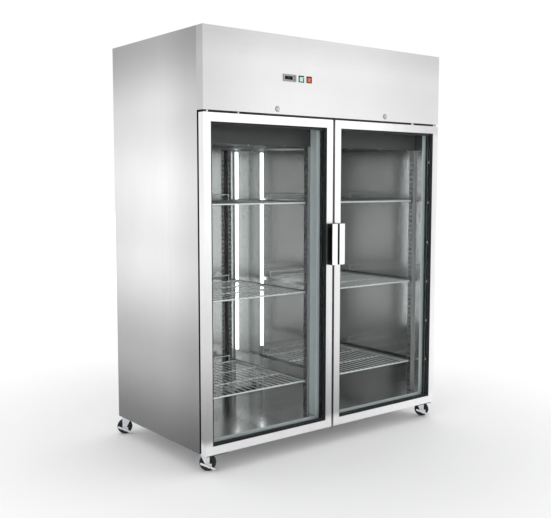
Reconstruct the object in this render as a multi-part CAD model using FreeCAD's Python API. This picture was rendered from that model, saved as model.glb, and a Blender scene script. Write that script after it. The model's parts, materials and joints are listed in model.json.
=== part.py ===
"""Two-door upright reach-in refrigerator on casters, with glass doors and a top-mounted machine.

Millimetres. +Z is up, +Y points to the back, the doors face -Y. The origin is on the floor,
under the centre of the cabinet's outer box.
"""
import FreeCAD, Part
import math
import os

V = FreeCAD.Vector

# ---------------------------------------------------------------- driving dimensions
body_width = 1480.0          # over the side panels
body_depth = 813.0           # door face to back panel
body_height = 1850.0         # skirt to top cover
fascia_height = 352.0        # control fascia over the doors
door_top_gap = 10.0          # fascia to door
door_gap = 13.5              # between the two doors
door_thickness = 36.0
door_stile = 38.0            # face width of the door's frame
gasket_gap = 13.0            # door slab to cabinet front
wall = 65.0                  # insulated side and back walls
floor_level = 55.0           # inside floor over the skirt's edge
ceiling_drop = 43.0          # inside ceiling below the fascia's lower edge
deck_rise = 17.0             # machine deck over the fascia's lower edge
base_recess = 15.0           # base pan above the skirt's edge
sheet = 1.2                  # stainless sheet
mullion_width = 132.0
mullion_depth = 47.0
handle_length = 197.0
handle_width = 33.5
handle_projection = 38.0
handle_bottom = 800.0        # over the door's lower edge
handle_plate = 4.0
shelf_side_room = 15.5       # shelf's edge from the pilasters
shelf_rear_room = 0.0        # shelf's back edge from the duct's front
bottom_shelf = 226.0         # lowest shelf over the skirt's edge
top_shelf_drop = 264.0       # highest shelf below the evaporator housing
middle_shelf_lift = 3.5      # middle shelf over the middle between them
shelf_pitch = 32.0           # between the shelf's thin wires
wire_radius = 2.0
rod_radius = 4.0
upstand_height = 34.0
upstand_inset = 40.0
pilaster_width = 28.0
pilaster_depth = 16.0
rear_pilaster_inset = 20.0    # from the liner's back
slot_pitch = 25.0
slot_width = 16.0
slot_height = 12.0
housing_height = 92.0        # evaporator housing, hung under the ceiling
duct_width = 187.0
duct_depth = 62.0
hinge_setback = 24.0         # hinge pin from the door's outer edge
hinge_pin_radius = 5.0
hinge_plate_length = 180.0
fit_clearance = 0.05         # radial, pins and shafts
gap = 0.3                    # between separate parts that must not rub
lock_offset = 342.0          # lock from the cabinet's middle
lock_height = 23.0           # lock over the fascia's lower edge
cam_length = 45.0
controls_height = 165.0      # controls over the fascia's lower edge
controller_x = -273.5
controller_width = 76.0
controller_height = 32.0
rocker_size = 30.0
rocker_x = (-204.5, -157.5)
wheel_radius = 37.5
wheel_width = 24.0
caster_trail = 25.0
caster_inset = 35.0          # front swivel axes from the cabinet's side and its front
back_caster_inset = 40.0     # rear swivel axes from the cabinet's side and its back
caster_heading = -38.0       # degrees from +X: the way the wheels stand at rest
crown_rise = 15.0            # top of the caster's crown over its wheel
axle_radius = 4.0
fork_play = 2.0              # wheel to leg
leg_thickness = 3.0
lever_pivot_x = 14.0         # brake lever's pin from the axle
lever_pivot_z = -18.0
lever_tilt = 21.0            # degrees the lever slopes when the brake is off
lever_half = 5.0             # half the lever's height
stem_radius = 5.0
fan_radius = 88.0
fan_pitch = 22.0             # degrees
fan_shaft_radius = 4.0
fan_y = -20.0                # evaporator fan's axis
coil_half = 440.0            # half the evaporator coil's length
condenser_x = -250.0
condenser_inset = 60.0       # condenser from the fascia's back
condenser_half = 130.0
condenser_height = 240.0
compressor_x = 60.0
compressor_y = 60.0
liner_skin = 1.0
light_width = 17.0
light_foot = 230.0           # lamps over the inside floor
barrel_radius = 9.5          # cam lock
plug_radius = 6.0
cam_setback = 12.0           # cam behind the fascia's face
cam_thickness = 2.5
cam_width = 9.0
cam_room = 3.0               # slots round the cam
gland_radius = 9.0
gland_bore = 4.2
gland_x = 560.0
gland_level = 25.0           # over the machine deck
key_size = 7.0
key_inset = 11.0             # keys from the controller's end
key_travel = 0.8
key_proud = 0.9
bezel_proud = 2.5
rocker_rim = 3.5             # face of the switch frame round the rocker
rocker_play = 0.6
rocker_angle = 7.0           # degrees each way
rocker_pin_radius = 1.8
glass_setback = 6.0          # outer pane behind the door's face
pane = 4.0
pane_gap = 12.0
spacer_width = 11.0
frame_wall = 1.5
hinge_leaf_inset = 10.0      # hinge plates from the cabinet's side
hinge_tongue_start = 84.0    # lower hinge's tongue along its plate, clear of the turning caster
hinge_tongue_end = 112.0
caster_room = 6.0            # lower hinge plate's back edge from the cabinet's front

# ---------------------------------------------------------------- datums worked out from them
half_width = body_width / 2
y_back = (body_depth + handle_projection) / 2
y_door = y_back - body_depth
y_cab = y_door + door_thickness + gasket_gap
crown_level = 2 * wheel_radius + crown_rise
z_body = crown_level
z_top = z_body + body_height
z_fascia = z_top - fascia_height
z_door_top = z_fascia - door_top_gap
z_floor = z_body + floor_level
z_ceiling = z_fascia - ceiling_drop
z_deck = z_fascia + deck_rise
z_base = z_body + base_recess
door_width = (body_width - door_gap) / 2
door_height = z_door_top - z_body
inner_x = half_width - wall
inner_back = y_back - wall
bay_face = mullion_width / 2
pilaster_front = y_cab + mullion_depth
shelf_front = pilaster_front
bay_centre = (inner_x + bay_face) / 2
hinge_x = half_width - hinge_setback
hinge_y = y_door + door_thickness / 2
handle_front = y_door - handle_projection
z_housing = z_ceiling - housing_height
top_shelf = z_housing - z_body - top_shelf_drop
shelf_levels = (bottom_shelf, (bottom_shelf + top_shelf) / 2 + middle_shelf_lift, top_shelf)
duct_front = inner_back - duct_depth
shelf_width = inner_x - bay_face - 2 * (pilaster_depth + shelf_side_room)
shelf_back = duct_front - shelf_rear_room
z_controls = z_fascia + controls_height
key_x = controller_x + controller_width / 2 - key_inset
rocker_pivot_y = y_door + 5.0
cam_y = y_door + cam_setback
gland_z = z_deck + gland_level
evap_back = inner_back - 2
cond_y = y_cab + condenser_inset
cond_axis_z = z_deck + condenser_height / 2
glass_front = y_door + glass_setback
handle_z = z_body + handle_bottom
handle_x0 = -half_width + door_width - handle_width + 0.5
handle_x1 = handle_x0 + handle_width
fork_gap = wheel_width + 2 * fork_play


# ---------------------------------------------------------------- helpers
def block(x0, x1, y0, y1, z0, z1):
    """Box between two corners given in any order along X."""
    low, high = min(x0, x1), max(x0, x1)
    return Part.makeBox(high - low, y1 - y0, z1 - z0, V(low, y0, z0))


def rod(radius, start, end):
    """Round bar between two points."""
    line = V(*end) - V(*start)
    return Part.makeCylinder(radius, line.Length, V(*start), line)


def fuse(shapes):
    """One solid from overlapping or touching shapes."""
    shapes = list(shapes)
    whole = shapes[0].multiFuse(shapes[1:]) if len(shapes) > 1 else shapes[0]
    return whole.removeSplitter()


def cut(shape, tools):
    """Shape with every tool taken away."""
    tools = list(tools)
    return shape.cut(Part.makeCompound(tools)) if tools else shape


def mirror_x(shape):
    """The same piece on the other side of the cabinet."""
    return shape.mirror(V(0, 0, 0), V(1, 0, 0))


def both_sides(shapes):
    """Left-hand pieces with their right-hand partners."""
    shapes = list(shapes)
    return shapes + [mirror_x(s) for s in shapes]


def save(name, shapes):
    """Write a node: one solid, or a group of separate solids."""
    if not isinstance(shapes, (list, tuple)):
        shapes = [shapes]
    solids = [solid for shape in shapes for solid in shape.Solids]
    whole = solids[0] if len(solids) == 1 else Part.makeCompound(solids)
    whole.exportStep("parts/%s.step" % name)


# ---------------------------------------------------------------- cabinet shell
def side_panel():
    """Left side: one sheet with hems turned in at its top and bottom."""
    x0 = -half_width
    hem = 18.0
    return fuse([
        block(x0, x0 + sheet, y_cab, y_back - sheet, z_body, z_top),
        block(x0, x0 + hem, y_cab + sheet, y_back - sheet, z_body, z_body + sheet),
        block(x0, x0 + hem, y_cab, y_back - sheet, z_top - sheet, z_top),
    ])


def back_panel():
    """Sheet over the insulated box, up to the machine deck."""
    return block(-half_width, half_width, y_back - sheet, y_back, z_body, z_deck)


def rear_grille():
    """Louvred sheet behind the machine, with a window for the cord inlet."""
    panel = block(-half_width, half_width, y_back - sheet, y_back, z_deck + gap, z_top - sheet)
    slots = []
    slot_length, slot_height, rows, columns = 150.0, 8.0, 12, 6
    row_pitch, column_pitch = 20.0, 190.0
    first_row = z_deck + 45
    for row in range(rows):
        for column in range(columns):
            x = (column - (columns - 1) / 2) * column_pitch
            z = first_row + row * row_pitch
            slots.append(block(x - slot_length / 2, x + slot_length / 2, y_back - 2 * sheet,
                               y_back + sheet, z, z + slot_height))
    return cut(panel, slots + [rod(gland_radius + gap, (gland_x, y_back - 5, gland_z),
                                   (gland_x, y_back + 5, gland_z))])


def top_cover():
    """Lid over the machine, slotted above the condenser."""
    x1 = half_width - 18 - gap
    cover = fuse([
        block(-x1, x1, y_cab, y_back - sheet, z_top - sheet, z_top),
        block(-x1, x1, y_cab, y_cab + sheet, z_top - 15, z_top),
        block(-x1, x1, y_back - 2 * sheet - gap, y_back - sheet - gap, z_top - 15, z_top),
    ])
    slots = []
    slot_count, slot_width, slot_spacing = 14, 8.0, 20.0
    for index in range(slot_count):
        for side in (-1, 1):
            x = side * 320 + (index - (slot_count - 1) / 2) * slot_spacing
            slots.append(block(x - slot_width / 2, x + slot_width / 2, y_cab + 220, y_cab + 520,
                               z_top - 2 * sheet, z_top + sheet))
    return cut(cover, slots)


def fascia():
    """Control fascia: front sheet with its top, bottom and side returns."""
    outer = block(-half_width, half_width, y_door, y_cab, z_fascia, z_top)
    hollow = block(-half_width + sheet, half_width - sheet, y_door + sheet, y_cab + sheet,
                   z_fascia + sheet, z_top - sheet)
    tools = [hollow]
    tools.append(block(controller_x - controller_width / 2 + 3, controller_x + controller_width / 2 - 3,
                       y_door - 1, y_door + 5, z_controls - controller_height / 2 + 2.5,
                       z_controls + controller_height / 2 - 2.5))
    half = rocker_size / 2 - 1.5
    for x in rocker_x:
        tools.append(block(x - half, x + half, y_door - 1, y_door + 5,
                           z_controls - half, z_controls + half))
    for side in (-1, 1):
        x = side * lock_offset
        z = z_fascia + lock_height
        tools.append(rod(barrel_radius + gap, (x, y_door - 1, z), (x, y_door + 5, z)))
        tools.append(block(x - cam_length + 3, x + cam_width, cam_y - cam_room,
                           cam_y + cam_thickness + cam_room, z_fascia - 1, z_fascia + 3))
    return cut(outer, tools)


def front_frame():
    """Face frame round both openings, welded to the box mullion between them."""
    x1 = half_width - sheet
    plate = block(-x1, x1, y_cab, y_cab + sheet, z_body, z_fascia - gap)
    openings = both_sides([block(-inner_x, -bay_face, y_cab - 1, y_cab + 5, z_floor, z_ceiling)])
    post = block(-bay_face, bay_face, y_cab, y_cab + mullion_depth, z_floor, z_ceiling)
    bore = block(-bay_face + sheet, bay_face - sheet, y_cab + sheet, y_cab + mullion_depth - sheet,
                 z_floor - 1, z_ceiling + 1)
    return fuse([cut(plate, openings), cut(post, [bore])])


def base_pan():
    """Chassis pan that carries the box and the casters, recessed above the skirt."""
    x1 = half_width - sheet
    rim = 12.0
    return fuse([
        block(-x1, x1, y_cab + sheet, y_back - sheet, z_base, z_base + 3),
        block(-x1, -x1 + 3, y_cab + sheet + rim, y_back - sheet, z_body + sheet, z_base + 3),
        block(x1 - 3, x1, y_cab + sheet + rim, y_back - sheet, z_body + sheet, z_base + 3),
        block(-x1, x1, y_back - sheet - 3, y_back - sheet, z_body + sheet, z_base + 3),
    ])


def foam_insulation():
    """Five foamed slabs between the outer panels and the liner."""
    x1 = half_width - sheet
    xi = inner_x + liner_skin
    y0, y1 = y_cab + sheet, y_back - sheet
    yi = inner_back + liner_skin
    z0, z1 = z_base + 3, z_deck - sheet
    zf, zc = z_floor - liner_skin, z_ceiling + liner_skin
    return [
        block(-x1, -xi, y0, y1, z0, z1), block(xi, x1, y0, y1, z0, z1),
        block(-xi, xi, yi, y1, z0, z1),
        block(-xi, xi, y0, yi, zc, z1), block(-xi, xi, y0, yi, z0, zf),
    ]


def inner_liner():
    """Stainless liner, open to the front."""
    s = liner_skin
    outer = block(-inner_x - s, inner_x + s, y_cab + sheet, inner_back + s, z_floor - s, z_ceiling + s)
    room = block(-inner_x, inner_x, y_cab, inner_back, z_floor, z_ceiling)
    return cut(outer, [room])


# ---------------------------------------------------------------- inside the cabinet
def air_duct():
    """Rear air column: a channel with a crease down its front, standing on the back wall."""
    half = duct_width / 2
    crease = 6.0
    z0, z1 = z_floor + 30, z_housing - gap
    outline = [(-half, inner_back), (-half, duct_front), (0, duct_front + crease), (half, duct_front),
               (half, inner_back), (half - sheet, inner_back), (half - sheet, duct_front + 2 * sheet),
               (0, duct_front + crease + sheet), (-half + sheet, duct_front + 2 * sheet),
               (-half + sheet, inner_back)]
    points = [V(x, y, z0) for x, y in outline]
    shell = Part.Face(Part.makePolygon(points + points[:1])).extrude(V(0, 0, z1 - z0))
    slots = []
    slot_count = 10
    for index in range(slot_count):
        z = z0 + 120 + index * (z1 - z0 - 240) / (slot_count - 1)
        for side in (-1, 1):
            slots.append(block(side * (half - 5), side * (half + 5), inner_back - 45, inner_back - 15,
                               z, z + 12))
    return cut(shell, slots)


def light_strip():
    """Left lamp diffuser on the duct's front edge."""
    half = duct_width / 2
    depth, top = 4.0, z_housing - 8
    return block(-half, -half + light_width, duct_front - depth - 0.5, duct_front - 0.5,
                 z_floor + light_foot, top)


def pilaster(face_x, into, y0):
    """Slotted shelf support standing on a wall at face_x; into is the way it stands out."""
    x1 = face_x + into * pilaster_depth
    z0, z1 = z_floor + 4, z_housing - gap
    middle = y0 + pilaster_width / 2
    strip = block(face_x, x1, y0, y0 + pilaster_width, z0, z1)
    trough = block(face_x - into, x1 - into * 1.5, y0 + 1.5, y0 + pilaster_width - 1.5, z0 - 1, z1 + 1)
    slots = []
    count = int((z1 - z0 - 40) // slot_pitch)
    for index in range(count):
        z = z0 + 20 + index * slot_pitch
        slots.append(block(x1 - into * 3, x1 + into, middle - slot_width / 2, middle + slot_width / 2,
                           z, z + slot_height))
    return cut(strip, [trough] + slots)


def left_bay_pilasters():
    """Two on the outer wall and two on the middle: behind the mullion and beside the duct."""
    rear = inner_back - pilaster_width - rear_pilaster_inset
    half = duct_width / 2
    return [
        pilaster(-inner_x, 1, pilaster_front), pilaster(-inner_x, 1, rear),
        pilaster(-bay_face, -1, pilaster_front + gap),
        pilaster(-half - gap, -1, rear),
    ]


def runner(side, level):
    """Angle that carries one edge of a shelf: side -1 is the outer edge, 1 the inner one."""
    x_shelf = -bay_centre + side * shelf_width / 2
    x_out = x_shelf + side * 4.0
    top = z_body + level - 2 * rod_radius - gap
    hook_low, hook_high = top - 6, top + 8
    y_rear = inner_back - rear_pilaster_inset - pilaster_width
    hook_y = shelf_front + pilaster_width / 2
    face = -inner_x + pilaster_depth if side < 0 else -bay_face - pilaster_depth
    pieces = [
        block(x_shelf - side * 12, x_out, shelf_front + 2, shelf_back, top - 1.5, top),
        block(x_out - side * 1.5, x_out, shelf_front + 2, shelf_back, top - 1.5, top + 14),
        block(x_out - side * 1.5, face, hook_y - 3, hook_y + 3, hook_low, hook_high),
    ]
    if side < 0:
        y_hook = y_rear + pilaster_width / 2
        pieces.append(block(x_out + 1.5, x_out, shelf_back - 2, y_hook + 3, hook_low, hook_high))
        pieces.append(block(x_out + 1.5, face, y_hook - 3, y_hook + 3, hook_low, hook_high))
    else:
        pieces.append(block(x_out - 1.5, x_out, shelf_back - 2, y_rear, hook_low, hook_high))
    return fuse(pieces)


def wire_shelf(level):
    """Left-bay shelf: rods round the edge, thin wires front to back, and a rear upstand."""
    x0, x1 = -bay_centre - shelf_width / 2, -bay_centre + shelf_width / 2
    y0, y1 = shelf_front + rod_radius, shelf_back - rod_radius
    z = z_body + level - rod_radius
    left, right = x0 + rod_radius, x1 - rod_radius
    parts = [rod(rod_radius, (x0, y, z), (x1, y, z)) for y in (y0, y1)]
    parts += [rod(rod_radius * 0.9, (x, y0, z), (x, y1, z)) for x in (left, right)]
    third = (y1 - y0) / 3
    parts += [rod(rod_radius * 0.8, (left, y0 + k * third, z - 1), (right, y0 + k * third, z - 1))
              for k in (1, 2)]
    count = int((right - left) // shelf_pitch)
    spacing = (right - left) / count
    parts += [rod(wire_radius, (left + k * spacing, y0, z + 1.4), (left + k * spacing, y1, z + 1.4))
              for k in range(1, count)]
    ends = (left + upstand_inset, right - upstand_inset)
    top = z + upstand_height
    parts += [rod(wire_radius, (x, y1, z), (x, y1, top)) for x in ends]
    parts.append(rod(wire_radius + 0.5, (ends[0] - 4, y1, top), (ends[1] + 4, y1, top)))
    return fuse(parts)


# ---------------------------------------------------------------- refrigeration


def evaporator_housing():
    """Sheet housing hung under the ceiling, with a fan mouth and return-air slots."""
    side_room, front_room, mouth_room = 2.0, 2.0, 8.0
    slot_count, slot_spacing, slot_half, slot_reach, first_slot = 12, 22.0, 4.0, 90.0, 300.0
    x, front = inner_x - side_room, y_cab + mullion_depth + front_room
    outer = block(-x, x, front, evap_back, z_housing, z_ceiling - gap)
    room = block(-x + sheet, x - sheet, front + sheet, evap_back - sheet, z_housing + sheet, z_ceiling)
    low, high = z_housing - sheet, z_housing + 2 * sheet
    tools = [room, rod(fan_radius + mouth_room, (0, fan_y, low), (0, fan_y, high))]
    for side in (-1, 1):
        for index in range(slot_count):
            x = side * (first_slot + index * slot_spacing)
            tools.append(block(x - slot_half, x + slot_half, fan_y - slot_reach, fan_y + slot_reach,
                               low, high))
    return cut(outer, tools)


def evaporator_coil():
    """Finned coil: end plates, fins and the tubes through them."""
    coil_back, coil_depth, over_floor, under_ceiling = 40.0, 110.0, 22.0, 12.0
    fin_count, fin_half = 24, 1.0
    tube_radius, tube_overhang, edge_y, edge_z, pitch_y, pitch_z = 5.0, 18.0, 14.0, 10.0, 27.0, 19.0
    y1 = evap_back - coil_back
    y0 = y1 - coil_depth
    z0, z1 = z_housing + over_floor, z_ceiling - under_ceiling
    fin_pitch = 2 * coil_half / (fin_count - 1)
    fins = [-coil_half + k * fin_pitch for k in range(fin_count)]
    parts = [block(x - fin_half, x + fin_half, y0, y1, z0, z1) for x in fins]
    end = coil_half + tube_overhang
    for row in range(3):
        for column in range(4):
            y, z = y0 + edge_y + column * pitch_y, z0 + edge_z + row * pitch_z
            parts.append(rod(tube_radius, (-end, y, z), (end, y, z)))
    return fuse(parts)


def drain_pan():
    """Tray under the coil, and its pipe through the back wall foam's face to the outside."""
    tray_wall, tray_height, tray_depth, tray_back, over_floor = 2.0, 14.0, 140.0, 25.0, 5.0
    spout_radius, spout_level, spout_room = 7.0, 8.0, 3.0
    y1 = evap_back - tray_back
    y0, z0, half = y1 - tray_depth, z_housing + over_floor, coil_half + 40
    tray = cut(block(-half, half, y0, y1, z0, z0 + tray_height),
               [block(-half + tray_wall, half - tray_wall, y0 + tray_wall, y1 - tray_wall, z0 + tray_wall,
                      z0 + tray_height + 1)])
    spout_z = z0 + spout_level
    spout = rod(spout_radius, (0, y1 - 1, spout_z), (0, evap_back - sheet - spout_room, spout_z))
    return fuse([tray, spout])


def motor(x, y, z, axis):
    """Fan motor can with its stub shaft; axis is the way the shaft points."""
    line = V(*axis)
    centre = V(x, y, z)
    can = Part.makeCylinder(32, 30, centre, line * -1)
    shaft = Part.makeCylinder(fan_shaft_radius, 30, centre, line)
    return can, shaft


def evaporator_motor():
    """Motor on a strap across the housing, above the fan mouth."""
    z = z_housing + 52
    can, shaft = motor(0, fan_y, z, (0, 0, -1))
    strap = block(-140, 140, fan_y - 12, fan_y + 12, z + 27, z + 30)
    legs = [block(s * 137, s * 140, fan_y - 12, fan_y + 12, z_housing + sheet, z + 30) for s in (-1, 1)]
    return fuse([can, shaft, strap] + legs)


def condenser_motor():
    """Motor behind the condenser on a bridge bracket that stands on the deck."""
    y = cond_y + 130
    can, shaft = motor(condenser_x, y, cond_axis_z, (0, -1, 0))
    bridge = block(condenser_x - 12, condenser_x + 12, y + 27, y + 30, z_deck, cond_axis_z)
    foot = block(condenser_x - 30, condenser_x + 30, y + 15, y + 45, z_deck, z_deck + 2)
    return fuse([can, shaft, bridge, foot])


def fan(blade_count=5):
    """Fan at the origin turning about +Z: hub bored for its shaft, and pitched blades."""
    hub = Part.makeCylinder(22, 22, V(0, 0, -11))
    parts = [hub]
    for k in range(blade_count):
        blade = Part.makeBox(fan_radius - 20, 42, 2.0, V(18, -21, -1))
        blade.rotate(V(0, 0, 0), V(1, 0, 0), fan_pitch)
        blade.rotate(V(0, 0, 0), V(0, 0, 1), k * 360.0 / blade_count)
        parts.append(blade)
    round_tip = Part.makeCylinder(fan_radius, 60, V(0, 0, -30))
    whole = fuse(parts).common(round_tip)
    return whole.cut(Part.makeCylinder(fan_shaft_radius + fit_clearance, 60, V(0, 0, -30)))


def condenser():
    """Finned block in its shroud, with a round mouth towards the fan."""
    left, right = condenser_x - condenser_half, condenser_x + condenser_half
    z0, z1 = z_deck, z_deck + condenser_height
    core_depth, shroud_depth, shroud_sheet, mouth_room = 44.0, 40.0, 1.5, 6.0
    groove_count, groove_half, groove_depth, groove_edge = 20, 3.0, 34.0, 14.0
    core = block(left, right, cond_y, cond_y + core_depth, z0 + 4, z1)
    pitch = (right - left - 2 * groove_edge) / (groove_count - 1)
    grooves = []
    for k in range(groove_count):
        x = left + groove_edge + k * pitch
        grooves.append(block(x - groove_half, x + groove_half, cond_y - 1, cond_y + groove_depth,
                             z0 + 12, z1 - 8))
    front, back = cond_y + core_depth, cond_y + core_depth + shroud_depth
    shroud = cut(block(left, right, front + gap, back, z0, z1),
                 [block(left + shroud_sheet, right - shroud_sheet, front - 1, back - shroud_sheet,
                        z0 + shroud_sheet, z1 - shroud_sheet),
                  rod(fan_radius + mouth_room, (condenser_x, front, cond_axis_z),
                      (condenser_x, back + 1, cond_axis_z))])
    return [cut(core, grooves), shroud]


def compressor():
    """Hermetic compressor: domed can on a base plate with four grommets."""
    x, y, z = compressor_x, compressor_y, z_deck
    base_x, base_y, base_level, base_sheet = 95.0, 70.0, 14.0, 3.0
    foot_x, foot_y, foot_radius = 78.0, 54.0, 11.0
    can_radius, can_height, dome_radius = 72.0, 130.0, 90.0
    can_z, dome_z, lid_z = z + 16, z + 92, z + 140
    base = block(x - base_x, x + base_x, y - base_y, y + base_y, z + base_level, z + base_level + base_sheet)
    corners = [(x + a * foot_x, y + b * foot_y) for a in (-1, 1) for b in (-1, 1)]
    feet = [rod(foot_radius, (fx, fy, z), (fx, fy, z + base_level + 1)) for fx, fy in corners]
    can = Part.makeCylinder(can_radius, can_height, V(x, y, can_z))
    dome = Part.makeSphere(dome_radius, V(x, y, dome_z))
    lid = dome.common(Part.makeCylinder(can_radius, 100, V(x, y, lid_z)))
    terminals = block(x + 60, x + 96, y - 30, y + 30, z + 60, z + 120)
    return fuse([base, can, lid, terminals] + feet)


def tube(points, radius, bend):
    """Tube along straight runs joined by tangent arcs."""
    corners = [V(*p) for p in points]
    edges = []
    start = corners[0]
    for before, corner, after in zip(corners, corners[1:], corners[2:]):
        back = (before - corner).normalize()
        ahead = (after - corner).normalize()
        half_angle = back.getAngle(ahead) / 2
        reach = bend / math.tan(half_angle)
        a, b = corner + back * reach, corner + ahead * reach
        middle = corner + (back + ahead).normalize() * (bend / math.sin(half_angle) - bend)
        edges += [Part.LineSegment(start, a).toShape(), Part.Arc(a, middle, b).toShape()]
        start = b
    edges.append(Part.LineSegment(start, corners[-1]).toShape())
    path = Part.Wire(edges)
    section = Part.Wire(Part.makeCircle(radius, corners[0], corners[1] - corners[0]))
    return path.makePipeShell([section], True, False)


def refrigerant_lines():
    """Discharge and liquid lines, the drier between them, and the suction line."""
    bend = 16.0
    top = z_deck + 220
    cond_right = condenser_x + condenser_half
    high, low = z_deck + 210, z_deck + 40
    port_y, turn_x = cond_y + 22, cond_right + 60
    can_x, can_y = compressor_x - 40, compressor_y - 30
    discharge = tube([(cond_right + 1, port_y, high), (turn_x, port_y, high), (turn_x, can_y, high),
                      (can_x, can_y, high), (can_x, can_y, z_deck + 164)], 4, bend)
    drier_x = cond_right + 110
    liquid = tube([(cond_right + 1, port_y, low), (drier_x, port_y, low), (drier_x, cond_y + 92, low)],
                  4, bend)
    drier = rod(12, (drier_x, cond_y + 92, low), (drier_x, cond_y + 190, low))
    back_x, back_y = compressor_x + 30, y_back - 60
    suction = tube([(back_x, compressor_y + 10, z_deck + 176), (back_x, compressor_y + 10, top),
                    (back_x, back_y, top), (back_x, back_y, z_deck + 1)], 6, bend)
    return [discharge, liquid, drier, suction]


def electrical_box():
    """Terminal box on the deck, and the empty cord gland in the rear grille."""
    x0, x1, box_height, box_wall = 380.0, 640.0, 90.0, 2.0
    y0, y1 = y_cab + 80, y_cab + 260
    box = cut(block(x0, x1, y0, y1, z_deck, z_deck + box_height),
              [block(x0 + box_wall, x1 - box_wall, y0 + box_wall, y1 - box_wall, z_deck + box_wall,
                     z_deck + box_height - box_wall)])
    lid, screw_radius, screw_inset, screw_y = z_deck + box_height, 4.0, 15.0, (y0 + y1) / 2
    lid_screws = [rod(screw_radius, (x, screw_y, lid), (x, screw_y, lid + 2))
                  for x in (x0 + screw_inset, x1 - screw_inset)]
    inlet_length, nut_radius, nut_length = 30.0, 13.0, 8.0
    inlet = rod(gland_radius, (gland_x, y_back - inlet_length, gland_z), (gland_x, y_back, gland_z))
    nut = rod(nut_radius, (gland_x, y_back - sheet - nut_length, gland_z),
              (gland_x, y_back - sheet - gap, gland_z))
    bore = rod(gland_bore, (gland_x, y_back - inlet_length - 1, gland_z), (gland_x, y_back + 1, gland_z))
    return [fuse([box] + lid_screws), cut(fuse([inlet, nut]), [bore])]


def machine_deck():
    """Sheet deck over the insulated box that carries the machine."""
    x1 = half_width - sheet
    return block(-x1, x1, y_cab + sheet, y_back - sheet, z_deck - sheet, z_deck)


# ---------------------------------------------------------------- controls and locks


def controller():
    """Panel-mounted thermostat: bezel, case and key wells."""
    x0, x1 = controller_x - controller_width / 2, controller_x + controller_width / 2
    z0, z1 = z_controls - controller_height / 2, z_controls + controller_height / 2
    bezel = block(x0, x1, y_door - bezel_proud, y_door, z0, z1)
    bezel = bezel.makeFillet(1.0, [e for e in bezel.Edges
                                   if abs(e.tangentAt(e.FirstParameter).y) > 0.9])
    case = block(x0 + 4, x1 - 4, y_door - 0.5, y_door + 44, z0 + 3.5, z1 - 3.5)
    window = block(x0 + 8, key_x - key_size / 2 - 6, y_door - bezel_proud - 1, y_door - bezel_proud + 0.6,
                   z0 + 7, z1 - 7)
    wells = [block(key_x - key_size / 2 - gap, key_x + key_size / 2 + gap, y_door - bezel_proud - 1,
                   y_door + 3, z - key_size / 2 - gap, z + key_size / 2 + gap) for z in key_heights()]
    return cut(fuse([bezel, case]), [window] + wells)


def key_heights():
    """Centres of the down key and the up key."""
    return z_controls - 6.5, z_controls + 6.5


def key(z):
    """One thermostat key standing 0.9 mm proud of the bezel."""
    half = key_size / 2
    cap = block(key_x - half, key_x + half, y_door - bezel_proud - key_proud,
                y_door + 3 - key_travel - gap,
                z - half, z + half)
    return cap.makeFillet(0.6, [e for e in cap.Edges if e.BoundBox.YMax < y_door - bezel_proud - 0.5])


def switch_bezel(x):
    """Square snap-in frame of a rocker switch."""
    half, inner = rocker_size / 2, rocker_size / 2 - rocker_rim
    frame = block(x - half, x + half, y_door - 2.0, y_door, z_controls - half, z_controls + half)
    body = block(x - half + 2, x + half - 2, y_door - 1, y_door + 28, z_controls - half + 2,
                 z_controls + half - 2)
    pocket = block(x - inner, x + inner, y_door - 3, y_door + 14, z_controls - inner, z_controls + inner)
    pin_hole = rod(rocker_pin_radius + fit_clearance, (x - inner - 1, rocker_pivot_y, z_controls),
                   (x + inner + 1, rocker_pivot_y, z_controls))
    return cut(fuse([frame, body]), [pocket, pin_hole])


def rocker(x):
    """Rocker with pins at both sides, tipped to its on side at rest."""
    inner = rocker_size / 2 - rocker_rim
    half = inner - rocker_play
    reach = half - 0.8
    section = [(-reach, -7.5), (0, -5.0), (reach, -7.5), (reach * 0.45, 4.0), (-reach * 0.45, 4.0)]
    points = [V(x - half, rocker_pivot_y + y, z_controls + z) for z, y in section]
    cap = Part.Face(Part.makePolygon(points + points[:1])).extrude(V(2 * half, 0, 0))
    cap.rotate(V(x, rocker_pivot_y, z_controls), V(1, 0, 0), rocker_angle)
    pin = rod(rocker_pin_radius, (x - inner - 0.7, rocker_pivot_y, z_controls),
              (x + inner + 0.7, rocker_pivot_y, z_controls))
    return fuse([cap, pin])


def lock_barrel(side):
    """Threaded barrel of a cam lock with its face ring and nut."""
    x, z = side * lock_offset, z_fascia + lock_height
    barrel = rod(barrel_radius, (x, y_door - 1, z), (x, cam_y - 1.0, z))
    ring = rod(barrel_radius + 1.5, (x, y_door - 3, z), (x, y_door - gap / 3, z))
    nut = rod(barrel_radius + 4, (x, y_door + sheet + gap / 3, z), (x, y_door + sheet + 4, z))
    bore = rod(plug_radius + fit_clearance, (x, y_door - 5, z), (x, cam_y + 5, z))
    return cut(fuse([barrel, ring, nut]), [bore])


def lock_cam(side):
    """Key plug and cam; the cam lies level at rest, which is unlocked."""
    x, z = side * lock_offset, z_fascia + lock_height
    plug = rod(plug_radius, (x, y_door - 3.4, z), (x, cam_y + cam_thickness + 2, z))
    keyway = block(x - 0.8, x + 0.8, y_door - 5, y_door + 4, z - 3.5, z + 3.5)
    arm = block(x - cam_length, x, cam_y, cam_y + cam_thickness, z - cam_width / 2, z + cam_width / 2)
    eye = rod(cam_width / 2 + 3, (x, cam_y, z), (x, cam_y + cam_thickness, z))
    return cut(fuse([plug, arm, eye]), [keyway])


# ---------------------------------------------------------------- left door, mirrored for the right


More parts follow.
